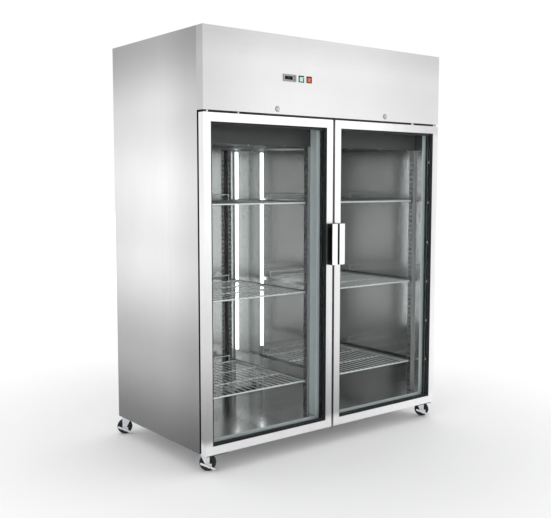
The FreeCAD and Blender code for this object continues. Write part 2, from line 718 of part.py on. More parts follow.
def door_ring(y0, y1, inset, width):
    """Rectangular ring on the left door; inset is measured in from the door's edge."""
    x0, x1 = -half_width + inset, -half_width + door_width - inset
    z0, z1 = z_body + inset, z_body + door_height - inset
    outer = block(x0, x1, y0, y1, z0, z1)
    inner = block(x0 + width, x1 - width, y0 - 1, y1 + 1, z0 + width, z1 - width)
    return cut(outer, [inner])


def door_frame():
    """Stainless channel frame, open at the back, with hinge holes and a cam slot."""
    ring = door_ring(y_door, y_door + door_thickness, 0, door_stile)
    channel = door_ring(y_door + frame_wall, y_door + door_thickness + 1, frame_wall,
                        door_stile - 2 * frame_wall)
    tools = [channel]
    hole = hinge_pin_radius + fit_clearance
    tools.append(rod(hole, (-hinge_x, hinge_y, z_body - 1), (-hinge_x, hinge_y, z_body + 3)))
    tools.append(rod(hole, (-hinge_x, hinge_y, z_door_top - 3), (-hinge_x, hinge_y, z_door_top + 1)))
    tools.append(block(-lock_offset - cam_length + 8, -lock_offset + cam_width, cam_y - cam_room,
                       cam_y + cam_thickness + cam_room, z_door_top - 3, z_door_top + 1))
    return cut(ring, tools)


def right_cam_slot():
    """Room in the right door's top for its cam, which swings the same way as the left one."""
    return block(lock_offset - cam_length + 8, lock_offset + cam_width, cam_y - cam_room,
                 cam_y + cam_thickness + cam_room, z_door_top - 3, z_door_top + 1)


def right_door_frame():
    """Mirrored frame with its cam slot on the same side of the lock as the left door's."""
    plain = mirror_x(door_frame())
    filler = block(lock_offset + cam_width, lock_offset + cam_length, cam_y - 4,
                   cam_y + cam_thickness + 4, z_door_top - frame_wall, z_door_top)
    return cut(fuse([plain, filler]), [right_cam_slot()])


def glass_panes():
    """Outer and inner panes of the sealed unit, held by the frame's inner returns."""
    x0, x1 = -half_width + door_stile + 0.5, -half_width + door_width - door_stile - 0.5
    z0, z1 = z_body + door_stile + 0.5, z_body + door_height - door_stile - 0.5
    second = glass_front + pane + pane_gap
    return [block(x0, x1, y, y + pane, z0, z1) for y in (glass_front, second)]


def glass_spacer():
    """Black spacer ring between the panes."""
    return door_ring(glass_front + pane, glass_front + pane + pane_gap, door_stile + 0.5, spacer_width)


def door_gasket():
    """Magnetic gasket, on the carrier that closes the frame's channel at the back."""
    carrier = door_ring(y_door + door_thickness, y_door + door_thickness + 2, frame_wall,
                        door_stile + 4 - frame_wall)
    bellows = door_ring(y_door + door_thickness + 1, y_cab - gap, hinge_setback + 1.5, 15.0)
    return fuse([carrier, bellows])


def handle_grip():
    """Moulded grip with a finger pocket on the side away from the other door."""
    grip = block(handle_x0, handle_x1, handle_front + handle_plate, y_door, handle_z,
                 handle_z + handle_length)
    grip = grip.makeFillet(2.0, [e for e in grip.Edges if abs(e.tangentAt(e.FirstParameter).x) > 0.9
                                 and e.BoundBox.YMax < y_door - 5])
    pocket = block(handle_x0 - 1, handle_x1 - 9, handle_front + handle_plate + 5, y_door - 4,
                   handle_z + 18, handle_z + handle_length - 18)
    pocket = pocket.makeFillet(5.0, [e for e in pocket.Edges
                                     if abs(e.tangentAt(e.FirstParameter).x) > 0.9])
    return cut(grip, [pocket])


def handle_face():
    """Steel plate on the front of the grip."""
    plate = block(handle_x0, handle_x1, handle_front, handle_front + handle_plate, handle_z,
                  handle_z + handle_length)
    return plate.makeFillet(1.5, [e for e in plate.Edges if e.BoundBox.YMax < handle_front + 0.1])


def top_hinge():
    """Left top hinge: plate in the gap over the door, its leg on the face frame, and its pin."""
    x0 = -half_width + hinge_leaf_inset
    z0, z1 = z_door_top + 3, z_fascia - 2
    plate = block(x0, x0 + hinge_plate_length, y_door + 6, y_cab, z0, z1)
    leg = block(x0 + 55, x0 + hinge_plate_length, y_cab - 4, y_cab, z_door_top - 20, z1)
    pin = rod(hinge_pin_radius, (-hinge_x, hinge_y, z_door_top - 12), (-hinge_x, hinge_y, z1))
    screw_x = x0 + hinge_plate_length - 14
    screw = rod(4.5, (screw_x, hinge_y, z1), (screw_x, hinge_y, z1 + 1.5))
    return fuse([plate, leg, pin, screw])


def bottom_hinge():
    """Left bottom hinge: plate under the door, tongue under the cabinet, and its pin."""
    x0 = -half_width + hinge_leaf_inset
    tongue_x0, x1 = x0 + hinge_tongue_start, x0 + hinge_tongue_end
    z0, z1 = z_body - 6, z_body - 2
    plate_back = y_cab - caster_room
    plate = block(x0, x1, y_door + 6, plate_back, z0, z1)
    tongue = block(tongue_x0, x1, plate_back - 1, y_cab + 60, z0, z1)
    leg = block(tongue_x0, x1, y_cab + 56, y_cab + 60, z0, z_base)
    pin = rod(hinge_pin_radius, (-hinge_x, hinge_y, z0), (-hinge_x, hinge_y, z_body + 12))
    return fuse([plate, tongue, leg, pin])


# ---------------------------------------------------------------- casters


def caster_places():
    """Name, swivel axis, and the wheel's way from that axis along the heading, of each caster."""
    x_front, x_back = half_width - caster_inset, half_width - back_caster_inset
    front, back = y_cab + caster_inset, y_back - back_caster_inset
    return [("front_left", -x_front, front, 1), ("front_right", x_front, front, 1),
            ("back_left", -x_back, back, -1), ("back_right", x_back, back, -1)]


def placed(shape, x, y, way):
    """A caster piece modelled with its wheel's middle at X 0, put with its swivel axis at x, y."""
    piece = shape.copy()
    piece.translate(V(way * caster_trail, 0, 0))
    piece.rotate(V(0, 0, 0), V(0, 0, 1), caster_heading)
    piece.translate(V(x, y, 0))
    return piece


def caster_stem(way):
    """Top plate and swivel pin, fixed to the base pan."""
    axis = V(-way * caster_trail, 0, 0)
    plate = Part.makeCylinder(26, 4, axis + V(0, 0, z_base - 4))
    pin = Part.makeCylinder(stem_radius, z_base - crown_level + 12, axis + V(0, 0, crown_level - 12))
    race = Part.makeCylinder(16, z_base - crown_level - gap, axis + V(0, 0, crown_level + gap))
    return fuse([plate, pin, race])


def caster_fork(way):
    """Crown and two legs down to the axle, with the brake lever's pin."""
    half = fork_gap / 2
    outer = half + leg_thickness
    swivel_x = -way * caster_trail
    low, high = min(swivel_x - 12, -10), max(swivel_x + 12, 10)
    crown = Part.makeCylinder(22, 5, V(swivel_x, 0, crown_level - 5))
    bridge = block(low, high, -outer, outer, crown_level - 5, crown_level - 2)
    legs = []
    for side in (-1, 1):
        y0, y1 = sorted((side * half, side * outer))
        outline = [V(low, y0, crown_level - 2), V(high, y0, crown_level - 2), V(9, y0, wheel_radius - 8),
                   V(-9, y0, wheel_radius - 8)]
        legs.append(Part.Face(Part.makePolygon(outline + outline[:1])).extrude(V(0, y1 - y0, 0)))
    axle = rod(axle_radius, (0, -outer - 1, wheel_radius), (0, outer + 1, wheel_radius))
    heads = [rod(5, (0, side * outer, wheel_radius), (0, side * (outer + 4), wheel_radius))
             for side in (-1, 1)]
    pin_z = wheel_radius + lever_pivot_z
    pivot = rod(2.5, (lever_pivot_x, -outer + 1, pin_z), (lever_pivot_x, -outer - 5, pin_z))
    lug = block(2, lever_pivot_x + 5, -outer, -half, pin_z - 5, wheel_radius - 2)
    hole = Part.makeCylinder(stem_radius + fit_clearance, 40, V(swivel_x, 0, crown_level - 20))
    return cut(fuse([crown, bridge, axle, pivot, lug] + legs + heads), [hole])


def caster_brake():
    """Double-ended brake lever, bored for its pin on the fork."""
    outer = fork_gap / 2 + leg_thickness
    px, pz = lever_pivot_x, wheel_radius + lever_pivot_z
    bar = block(px - 50, px + 20, -outer - 4, -outer - 1, pz - lever_half, pz + lever_half)
    bar = bar.makeFillet(4.5, [e for e in bar.Edges if abs(e.tangentAt(e.FirstParameter).y) > 0.9])
    tread = block(px + 8, px + 24, -outer - 9, -outer - 1, pz - 4, pz + 6)
    lever = fuse([bar, tread])
    lever = lever.cut(rod(2.5 + fit_clearance, (px, -outer - 10, pz), (px, -outer + 5, pz)))
    lever.rotate(V(px, 0, pz), V(0, 1, 0), lever_tilt)
    return lever


def caster_wheel():
    """Rubber-tyred wheel with its hub, bored for the axle."""
    centre = V(0, 0, wheel_radius)
    half = wheel_width / 2
    tyre = Part.makeCylinder(wheel_radius, wheel_width, centre - V(0, half, 0), V(0, 1, 0))
    tyre = tyre.makeFillet(5.0, [e for e in tyre.Edges if len(e.Vertexes) == 1])
    for side in (-1, 1):
        dish = Part.makeCylinder(24, 4, centre + V(0, side * half, 0), V(0, -side, 0))
        hub = Part.makeCylinder(10, 6, centre + V(0, side * half, 0), V(0, -side, 0))
        tyre = tyre.cut(dish).fuse(hub)
    return tyre.cut(Part.makeCylinder(axle_radius + fit_clearance, wheel_width + 4,
                                      centre - V(0, half + 2, 0), V(0, 1, 0))).removeSplitter()


# ---------------------------------------------------------------- output
def build_cabinet():
    """Fixed shell and the insulated box."""
    left = side_panel()
    save("side_panel_left", left)
    save("side_panel_right", mirror_x(left))
    save("back_panel", back_panel())
    save("rear_grille", rear_grille())
    save("top_cover", top_cover())
    save("fascia", fascia())
    save("front_frame", front_frame())
    save("base_pan", base_pan())
    save("insulation", foam_insulation() + [machine_deck()])
    save("inner_liner", inner_liner())
    save("hinge_plates", both_sides([top_hinge(), bottom_hinge()]))


def build_interior():
    """Duct, lamps, shelf supports and shelves."""
    save("air_duct", air_duct())
    save("light_strips", both_sides([light_strip()]))
    save("shelf_pilasters", both_sides(left_bay_pilasters()))
    save("shelf_runners", both_sides([runner(side, level) for side in (-1, 1) for level in shelf_levels]))
    save("wire_shelves", both_sides([wire_shelf(level) for level in shelf_levels]))


def build_refrigeration():
    """Evaporator under the ceiling and condensing unit on the deck."""
    save("evaporator_housing", evaporator_housing())
    save("evaporator_coil", evaporator_coil())
    save("drain_pan", drain_pan())
    save("fan_motors", [evaporator_motor(), condenser_motor()])
    evaporator_fan = fan()
    evaporator_fan.translate(V(0, fan_y, z_housing + 30))
    save("evaporator_fan", evaporator_fan)
    condenser_fan = fan()
    condenser_fan.rotate(V(0, 0, 0), V(1, 0, 0), 90)
    condenser_fan.translate(V(condenser_x, cond_y + 108, cond_axis_z))
    save("condenser_fan", condenser_fan)
    save("condenser", condenser())
    save("compressor", compressor())
    save("refrigerant_lines", refrigerant_lines())
    save("electrical_box", electrical_box())


def build_controls():
    """Thermostat, switches and locks on the fascia."""
    save("controller", controller())
    for name, z in zip(("key_down", "key_up"), key_heights()):
        save(name, key(z))
    save("switch_bezels", [switch_bezel(x) for x in rocker_x])
    for name, x in zip(("rocker_green", "rocker_orange"), rocker_x):
        save(name, rocker(x))
    save("lock_barrels", [lock_barrel(side) for side in (-1, 1)])
    for name, side in (("lock_cam_left", -1), ("lock_cam_right", 1)):
        save(name, lock_cam(side))


def build_doors():
    """Both doors, the right one mirrored from the left."""
    save("left_door_frame", door_frame())
    save("right_door_frame", right_door_frame())
    makers = (("glass", glass_panes), ("spacer", glass_spacer), ("gasket", door_gasket),
              ("handle_grip", handle_grip), ("handle_plate", handle_face))
    for name, maker in makers:
        pieces = maker()
        pieces = pieces if isinstance(pieces, list) else [pieces]
        save("left_door_" + name, pieces)
        save("right_door_" + name, [mirror_x(piece) for piece in pieces])


def build_casters():
    """Four swivel casters with brakes."""
    brake, wheel = caster_brake(), caster_wheel()
    places = caster_places()
    save("caster_stems", [placed(caster_stem(way), x, y, way) for name, x, y, way in places])
    for name, x, y, way in places:
        save("caster_fork_" + name, placed(caster_fork(way), x, y, way))
        save("caster_brake_" + name, placed(brake, x, y, way))
        save("caster_wheel_" + name, placed(wheel, x, y, way))


os.makedirs("parts", exist_ok=True)
build_cabinet()
build_interior()
build_refrigeration()
build_controls()
build_doors()
build_casters()
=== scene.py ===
"""Looks of a two-door glass reach-in refrigerator: materials, small detail, light and camera."""
import json
import math

import bmesh
import bpy
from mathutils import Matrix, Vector

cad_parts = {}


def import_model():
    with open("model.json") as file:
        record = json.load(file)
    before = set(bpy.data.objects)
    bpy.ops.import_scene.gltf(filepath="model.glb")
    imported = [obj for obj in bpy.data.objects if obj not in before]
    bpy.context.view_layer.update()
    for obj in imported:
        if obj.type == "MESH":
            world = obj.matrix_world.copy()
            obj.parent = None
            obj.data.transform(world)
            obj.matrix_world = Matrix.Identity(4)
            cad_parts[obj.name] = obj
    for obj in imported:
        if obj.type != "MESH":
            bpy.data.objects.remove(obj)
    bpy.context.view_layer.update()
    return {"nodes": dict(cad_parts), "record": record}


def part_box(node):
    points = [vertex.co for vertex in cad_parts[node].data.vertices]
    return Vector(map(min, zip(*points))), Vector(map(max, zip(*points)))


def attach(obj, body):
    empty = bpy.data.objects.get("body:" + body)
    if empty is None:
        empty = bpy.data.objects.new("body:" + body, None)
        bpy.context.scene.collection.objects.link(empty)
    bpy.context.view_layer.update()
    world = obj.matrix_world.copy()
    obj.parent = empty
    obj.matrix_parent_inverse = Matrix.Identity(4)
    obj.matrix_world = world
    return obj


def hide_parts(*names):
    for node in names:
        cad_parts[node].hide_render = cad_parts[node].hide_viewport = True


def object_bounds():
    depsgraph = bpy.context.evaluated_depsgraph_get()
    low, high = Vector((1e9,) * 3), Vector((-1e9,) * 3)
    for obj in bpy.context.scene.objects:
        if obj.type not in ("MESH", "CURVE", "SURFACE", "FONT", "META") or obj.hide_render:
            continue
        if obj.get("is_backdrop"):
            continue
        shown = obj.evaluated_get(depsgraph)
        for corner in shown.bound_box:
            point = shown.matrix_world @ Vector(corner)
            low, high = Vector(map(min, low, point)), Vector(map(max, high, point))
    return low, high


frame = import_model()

NODES = frame["nodes"]
JOINTS = {joint["name"]: joint for joint in frame["record"]["behaviour"]["joints"]}
MM = 0.001
UP = Vector((0, 0, 1))
WORLD_STRENGTH = 1.05


# ---------------------------------------------------------------- node graphs
class Graph:
    """A material's node tree with short calls for the nodes used here."""

    def __init__(self, name):
        self.material = bpy.data.materials.new(name)
        self.material.use_nodes = True
        self.tree = self.material.node_tree
        self.shader = self.tree.nodes["Principled BSDF"]
        self.output = self.tree.nodes["Material Output"]
        self.place = self.add("ShaderNodeTexCoord").outputs["Object"]

    def add(self, kind, **settings):
        node = self.tree.nodes.new(kind)
        for key, value in settings.items():
            setattr(node, key, value)
        return node

    def feed(self, node, socket, value):
        if isinstance(value, bpy.types.NodeSocket):
            self.tree.links.new(value, node.inputs[socket])
        else:
            node.inputs[socket].default_value = value

    def noise(self, scale, stretch=(1, 1, 1), detail=3.0, rough=0.5, shift=0.0):
        mapping = self.add("ShaderNodeMapping")
        self.feed(mapping, "Vector", self.place)
        mapping.inputs["Scale"].default_value = [scale * s for s in stretch]
        mapping.inputs["Location"].default_value = (shift, shift * 0.7, shift * 1.3)
        noise = self.add("ShaderNodeTexNoise")
        self.feed(noise, "Vector", mapping.outputs["Vector"])
        self.feed(noise, "Scale", 1.0)
        self.feed(noise, "Detail", detail)
        self.feed(noise, "Roughness", rough)
        return noise.outputs["Fac"]

    def spread(self, value, low, high, from_low=0.0, from_high=1.0):
        node = self.add("ShaderNodeMapRange")
        for socket, number in zip(("Value", "From Min", "From Max", "To Min", "To Max"),
                                  (value, from_low, from_high, low, high)):
            self.feed(node, socket, number)
        return node.outputs["Result"]

    def math(self, operation, a, b):
        node = self.add("ShaderNodeMath", operation=operation)
        self.feed(node, 0, a)
        self.feed(node, 1, b)
        return node.outputs[0]

    def shade(self, color, factor):
        """The colour times a grey factor."""
        node = self.add("ShaderNodeMix", data_type="RGBA", blend_type="MULTIPLY")
        self.feed(node, 0, 1.0)
        self.feed(node, 6, (*color[:3], 1.0) if not isinstance(color, bpy.types.NodeSocket) else color)
        self.feed(node, 7, factor)
        return node.outputs[2]

    def blend(self, factor, a, b):
        node = self.add("ShaderNodeMix", data_type="RGBA")
        self.feed(node, 0, factor)
        for index, color in ((6, a), (7, b)):
            self.feed(node, index, color if isinstance(color, bpy.types.NodeSocket) else (*color[:3], 1.0))
        return node.outputs[2]

    def bump(self, height, strength, distance=0.001):
        node = self.add("ShaderNodeBump")
        self.feed(node, "Height", height)
        self.feed(node, "Strength", strength)
        self.feed(node, "Distance", distance)
        self.feed(self.shader, "Normal", node.outputs["Normal"])

    def along(self, axis, stops):
        """A value that changes smoothly along an axis; stops are (place, value), lowest place first."""
        split = self.add("ShaderNodeSeparateXYZ")
        self.feed(split, 0, self.place)
        first, last = stops[0][0], stops[-1][0]
        ramp = self.add("ShaderNodeValToRGB")
        ramp.color_ramp.interpolation = "EASE"
        elements = ramp.color_ramp.elements
        elements.remove(elements[1])
        for index, (place, value) in enumerate(stops):
            share = (place - first) / (last - first)
            element = elements[0] if index == 0 else elements.new(share)
            element.position = share
            element.color = (value, value, value, 1.0)
        self.feed(ramp, 0, self.spread(split.outputs[axis], 0.0, 1.0, first, last))
        return ramp.outputs["Color"]


def steel(name, color, rough=0.3, grain="X", grain_scale=900.0, contrast=0.06, painted_shades=(),
          metallic=1.0, smudge=0.05):
    """Brushed stainless sheet: fine streaks along the grain, slow waves, handling smudges, and any painted
    light and shade ramps multiplied into its colour.
    """
    g = Graph(name)
    stretch = {"X": (0.004, 0.6, 1), "Y": (0.6, 0.004, 1), "Z": (1, 1, 0.004)}[grain]
    fine = g.noise(grain_scale, stretch, 2.0, 0.6)
    bands = g.noise(grain_scale / 9, stretch, 3.0, 0.55, 3.1)
    waves = g.noise(2.2, (1, 1, 1), 2.0, 0.5, 7.7)
    marks = g.noise(16, (1, 1, 1), 5.0, 0.62, 1.9)
    streaks = g.math("ADD", g.spread(fine, -contrast, contrast, 0.25, 0.75),
                     g.spread(bands, -contrast * 0.6, contrast * 0.6, 0.25, 0.75))
    tone = g.math("ADD", streaks, g.spread(waves, 0.96, 1.02, 0.3, 0.7))
    # Painted light and shade: each position ramp given here darkens or brightens the colour by place.
    for fade in painted_shades:
        tone = g.math("MULTIPLY", tone, fade(g))
    g.feed(g.shader, "Base Color", g.shade(color, tone))
    g.feed(g.shader, "Metallic", metallic)
    wipe = g.spread(marks, 0.0, smudge, 0.52, 0.75)
    grit = g.spread(fine, rough - 0.05, rough + 0.06, 0.3, 0.7)
    g.feed(g.shader, "Roughness", g.math("ADD", grit, wipe))
    g.bump(fine, 0.05, 0.0002)
    return g.material


def plastic(name, color, rough=0.45, grain=2600.0, bump=0.08, fade=0.08, coat=0.0, specular=0.5):
    """Moulded plastic with a fine spark-eroded grain and slight tone changes."""
    g = Graph(name)
    grain_value = g.noise(grain, detail=2.0)
    cloud = g.noise(24.0, detail=4.0, shift=5.0)
    g.feed(g.shader, "Base Color", g.shade(color, g.spread(cloud, 1 - fade, 1 + fade, 0.3, 0.7)))
    g.feed(g.shader, "Roughness", g.spread(cloud, rough - 0.06, rough + 0.08, 0.3, 0.7))
    g.shader.inputs["Coat Weight"].default_value = coat
    g.shader.inputs["Specular IOR Level"].default_value = specular
    g.bump(grain_value, bump, 0.0003)
    return g.material


def rubber(name, color, dust=0.06):
    """Matt rubber with a little dust in its grain."""
    g = Graph(name)
    cloud = g.noise(60.0, detail=5.0, rough=0.65)
    g.feed(g.shader, "Base Color", g.blend(g.spread(cloud, 0.0, dust, 0.45, 0.75), color, (0.5, 0.48, 0.45)))
    g.feed(g.shader, "Roughness", g.spread(cloud, 0.55, 0.78, 0.3, 0.7))
    g.bump(g.noise(1500.0, detail=2.0), 0.15, 0.0004)
    return g.material


def plated(name, color, rough=0.16, spots=0.12):
    """Bright plating or polished wire, with fine drawing marks and dull spots."""
    g = Graph(name)
    cloud = g.noise(45.0, detail=5.0, rough=0.6)
    fine = g.noise(1800.0, detail=2.0, shift=2.0)
    g.feed(g.shader, "Base Color", g.shade(color, g.spread(cloud, 0.92, 1.04, 0.3, 0.7)))
    g.feed(g.shader, "Metallic", 1.0)
    g.feed(g.shader, "Roughness", g.math("ADD", g.spread(cloud, rough - 0.04, rough + spots, 0.35, 0.75),
                                         g.spread(fine, 0.0, 0.03)))
    g.bump(fine, 0.04, 0.0002)
    return g.material


def foam(name, color):
    """Cut polyurethane foam."""
    g = Graph(name)
    cells = g.add("ShaderNodeTexVoronoi")
    g.feed(cells, "Vector", g.place)
    g.feed(cells, "Scale", 420.0)
    g.feed(g.shader, "Base Color", g.shade(color, g.spread(g.noise(9.0), 0.88, 1.05, 0.3, 0.7)))
    g.feed(g.shader, "Roughness", 0.9)
    g.bump(cells.outputs["Distance"], 0.4, 0.001)
    return g.material


def pane_glass(name, tint=(0.985, 0.994, 0.991)):
    """Float glass: clear and faintly green face on, mirror-like at a low angle, with wiping haze."""
    g = Graph(name)
    g.shader.inputs["Base Color"].default_value = (0.02, 0.024, 0.023, 1.0)
    g.shader.inputs["IOR"].default_value = 1.5
    haze = g.noise(5.0, (1, 1, 0.6), 5.0, 0.6)
    g.feed(g.shader, "Roughness", g.spread(haze, 0.01, 0.05, 0.5, 0.8))
    clear = g.add("ShaderNodeBsdfTransparent")
    g.feed(clear, "Color", g.shade(tint, g.spread(haze, 0.985, 1.0, 0.3, 0.7)))
    fresnel = g.add("ShaderNodeFresnel")
    g.feed(fresnel, "IOR", 1.5)
    mix = g.add("ShaderNodeMixShader")
    entering = g.math("SUBTRACT", 1.0, g.add("ShaderNodeNewGeometry").outputs["Backfacing"])
    g.feed(mix, 0, g.math("MULTIPLY", entering, g.spread(fresnel.outputs["Fac"], 0.0, 0.9)))
    g.feed(mix, 1, clear.outputs["BSDF"])
    g.feed(mix, 2, g.shader.outputs["BSDF"])
    g.feed(g.output, "Surface", mix.outputs["Shader"])
    return g.material


def glow(name, color, strength, base=(0.9, 0.93, 0.95)):
    """Opal diffuser lit from behind."""
    g = Graph(name)
    tone = g.spread(g.noise(30.0, (1, 1, 0.3)), 0.97, 1.0, 0.3, 0.7)
    g.feed(g.shader, "Base Color", g.shade(base, tone))
    g.feed(g.shader, "Emission Color", g.shade(color, tone))
    g.shader.inputs["Emission Strength"].default_value = strength
    g.feed(g.shader, "Roughness", g.spread(g.noise(300.0), 0.3, 0.4))
    return g.material


def make_materials():
    """One finish for each slot of the record, and the extra ones of the added detail."""
    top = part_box("top_cover")[1][2]
    left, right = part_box("left_door_frame")[0][0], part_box("right_door_frame")[1][0]
    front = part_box("side_panel_left")[0][1]

    def side_painted_reflection(g):
        """Painted reflection and shade on the big side sheets: brightest above the middle, as if mirroring a
        bright horizon, darker to the floor.
        """
        height = g.along("Z", [(0.05 * top, 0.25), (0.25 * top, 0.5), (0.5 * top, 0.9), (0.68 * top, 1.1),
                               (0.82 * top, 0.95), (top, 0.53)])
        depth = g.along("Y", [(front, 0.78), (front + 0.3, 0.98), (front + 0.9, 0.86)])
        return g.math("MULTIPLY", height, depth)

    def fascia_painted_shade(g):
        # Painted shade: the fascia is darker towards its left and right ends and towards its top.
        width = g.along("X", [(left, 0.86), (0.5 * left, 0.97), (0.1, 1.0), (right, 0.9)])
        return g.math("MULTIPLY", width, g.along("Z", [(0.8 * top, 1.0), (0.92 * top, 0.93), (top, 0.78)]))

    def door_painted_shade(g):
        """Painted shade on the doors: darker towards the floor, most of all at the left, and darker towards
        the right-hand edge, more so higher up.
        """
        dark = g.math("MULTIPLY", g.along("Z", [(0.062 * top, 0.0), (0.085 * top, 0.95), (0.3 * top, 0.55),
                                                (0.62 * top, 0.1), (0.8 * top, 0.0)]),
                      g.along("X", [(left, 0.62), (0.0, 0.5), (right, 0.08)]))
        shade = g.math("MULTIPLY", g.along("Z", [(0.1 * top, 0.0), (0.4 * top, 0.8), (0.78 * top, 1.0),
                                                 (0.8 * top, 1.7)]),
                       g.along("X", [(0.1 * right, 0.0), (right, 0.2)]))
        return g.math("SUBTRACT", g.math("SUBTRACT", 1.0, dark), shade)

    def duct_painted_shade(g):
        """Painted shade: the duct's right-hand half is darker, as if turned away from the lamps' light."""
        return g.along("X", [(-0.09, 0.9), (-0.01, 0.75), (0.01, 0.35), (0.05, 0.5), (0.09, 0.3)])

    return {
        "side_steel": steel("side_steel", (0.88, 0.88, 0.88), 0.34, "Z", contrast=0.03, painted_shades=[side_painted_reflection]),
        "sheet_steel": steel("sheet_steel", (0.60, 0.60, 0.61), 0.38, "X"),
        "fascia_steel": steel("fascia_steel", (0.72, 0.72, 0.72), 0.36, "X", contrast=0.02,
                              painted_shades=[fascia_painted_shade]),
        "door_steel": steel("door_steel", (0.92, 0.92, 0.92), 0.3, "Z", contrast=0.03, painted_shades=[door_painted_shade]),
        "frame_steel": steel("frame_steel", (0.86, 0.925, 0.94), 0.36, "Z", contrast=0.03, metallic=0.1),
        "foam": foam("foam", (0.82, 0.74, 0.5)),
        "liner_steel": steel("liner_steel", (0.56, 0.553, 0.55), 0.16, "Z", contrast=0.03),
        "hinge_steel": steel("hinge_steel", (0.035, 0.035, 0.036), 0.5, "X"),
        "duct_steel": steel("duct_steel", (0.74, 0.74, 0.74), 0.2, "Z", contrast=0.03, painted_shades=[duct_painted_shade]),
        "lamp": glow("lamp", (0.96, 0.985, 1.0), 4.5),
        "support_steel": steel("support_steel", (0.42, 0.42, 0.425), 0.3, "Z"),
        "shelf_wire": steel("shelf_wire", (0.97, 0.97, 0.97), 0.3, "X", contrast=0.02, metallic=0.5),
        "housing_steel": steel("housing_steel", (0.1, 0.098, 0.098), 0.55, "X"),
        "coil_aluminium": steel("coil_aluminium", (0.72, 0.73, 0.75), 0.38, "X"),
        "white_plastic": plastic("white_plastic", (0.8, 0.82, 0.82)),
        "machine_black": plastic("machine_black", (0.02, 0.02, 0.021), 0.35, coat=0.3),
        "fan_blade": steel("fan_blade", (0.55, 0.56, 0.58), 0.4, "X"),
        "copper": plated("copper", (0.8, 0.36, 0.2), 0.25),
        "box_grey": plastic("box_grey", (0.42, 0.44, 0.45), 0.5, 900.0, 0.2),
        "controller_plastic": plastic("controller_plastic", (0.27, 0.27, 0.28), 0.36),
        "key_plastic": plastic("key_plastic", (0.13, 0.135, 0.14), 0.4),
        "black_plastic": plastic("black_plastic", (0.008, 0.008, 0.009), 0.45, specular=0.25),
        "rocker_green": plastic("rocker_green", (0.5, 0.74, 0.66), 0.26, coat=0.2),
        "rocker_orange": plastic("rocker_orange", (0.6, 0.11, 0.02), 0.26, coat=0.2),
        "lock_chrome": plated("lock_chrome", (0.8, 0.8, 0.8), 0.14),
        "door_glass": pane_glass("door_glass"),
        "spacer_black": plastic("spacer_black", (0.006, 0.008, 0.01), 0.5),
        "gasket_rubber": rubber("gasket_rubber", (0.03, 0.032, 0.035)),
        "handle_steel": steel("handle_steel", (0.9, 0.9, 0.9), 0.22, "Z"),
        "caster_steel": plated("caster_steel", (0.72, 0.74, 0.76), 0.24),
        "brake_steel": plated("brake_steel", (0.8, 0.81, 0.83), 0.2),
        "tyre_black": rubber("tyre_black", (0.005, 0.005, 0.005), 0.03),
        "lens": plastic("display_lens", (0.002, 0.002, 0.003), 0.3, specular=0.08),
        "digits": glow("display_digits", (0.3, 0.75, 0.95), 0.03, (0.02, 0.05, 0.06)),
    }


# ---------------------------------------------------------------- mesh helpers
def piece(name, bm, body, material, bevel=0.0):
    """An added piece: the mesh, its material, soft edges, and the body that carries it."""
    mesh = bpy.data.meshes.new(name)
    bmesh.ops.recalc_face_normals(bm, faces=bm.faces)
    bm.to_mesh(mesh)
    bm.free()
    obj = bpy.data.objects.new(name, mesh)
    bpy.context.scene.collection.objects.link(obj)
    mesh.materials.append(material)
    finish_edges(obj, bevel)
    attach(obj, body)
    return obj


def finish_edges(obj, bevel, smooth=40):
    """Rounds the sharp edges and smooths the curved faces."""
    if bevel:
        modifier = obj.modifiers.new("edge", "BEVEL")
        modifier.width = bevel
        modifier.segments = 2
        modifier.limit_method = "ANGLE"
        modifier.angle_limit = math.radians(35)
        modifier.use_clamp_overlap = True
        modifier.harden_normals = True
    obj.data.shade_smooth()
    for edge in obj.data.edges:
        edge.use_edge_sharp = False
    set_sharp(obj.data, math.radians(smooth))


def set_sharp(mesh, angle):
    """Marks the edges between faces that turn by more than the angle as sharp."""
    bm = bmesh.new()
    bm.from_mesh(mesh)
    for edge in bm.edges:
        if len(edge.link_faces) == 2 and edge.calc_face_angle(0.0) > angle:
            edge.smooth = False
    sharp = [not edge.smooth for edge in bm.edges]
    bm.free()
    mesh.edges.foreach_set("use_edge_sharp", sharp)


def add_block(bm, low, high):
    """Adds a box between two corners."""
    corners = [bm.verts.new((x, y, z)) for x in (low[0], high[0]) for y in (low[1], high[1])
               for z in (low[2], high[2])]
    for quad in ((0, 1, 3, 2), (4, 6, 7, 5), (0, 4, 5, 1), (2, 3, 7, 6), (0, 2, 6, 4), (1, 5, 7, 3)):
        bm.faces.new([corners[i] for i in quad])


def add_lathe(bm, profile, centre, axis, steps=32, closed=False):
    """Adds a turned solid: profile is (distance along the axis, radius)."""
    turn = UP.rotation_difference(Vector(axis)).to_matrix()
    rings = []
    for height, radius in profile:
        if radius < 1e-7:
            rings.append([bm.verts.new(Vector(centre) + turn @ Vector((0, 0, height)))])
            continue
        rings.append([bm.verts.new(Vector(centre) + turn @ Vector((
            radius * math.cos(2 * math.pi * k / steps), radius * math.sin(2 * math.pi * k / steps),
            height))) for k in range(steps)])
    pairs = list(zip(rings, rings[1:]))
    if closed:
        pairs.append((rings[-1], rings[0]))
    for lower, upper in pairs:
        for k in range(steps):
            n = (k + 1) % steps
            quad = [lower[k % len(lower)], lower[n % len(lower)],
                    upper[n % len(upper)], upper[k % len(upper)]]
            unique = list(dict.fromkeys(quad))
            if len(unique) > 2:
                bm.faces.new(unique)


def add_ring(bm, x0, x1, z0, z1, profile):
    """Sweeps a closed profile round a rectangle facing -Y; profile is (distance inwards, y)."""
    loops = []
    for x, z, sx, sz in ((x0, z0, 1, 1), (x1, z0, -1, 1), (x1, z1, -1, -1), (x0, z1, 1, -1)):
        loops.append([bm.verts.new((x + sx * u, y, z + sz * u)) for u, y in profile])
    count = len(profile)
    for a, b in zip(loops, loops[1:] + loops[:1]):
        for k in range(count):
            n = (k + 1) % count
            bm.faces.new((a[k], a[n], b[n], b[k]))


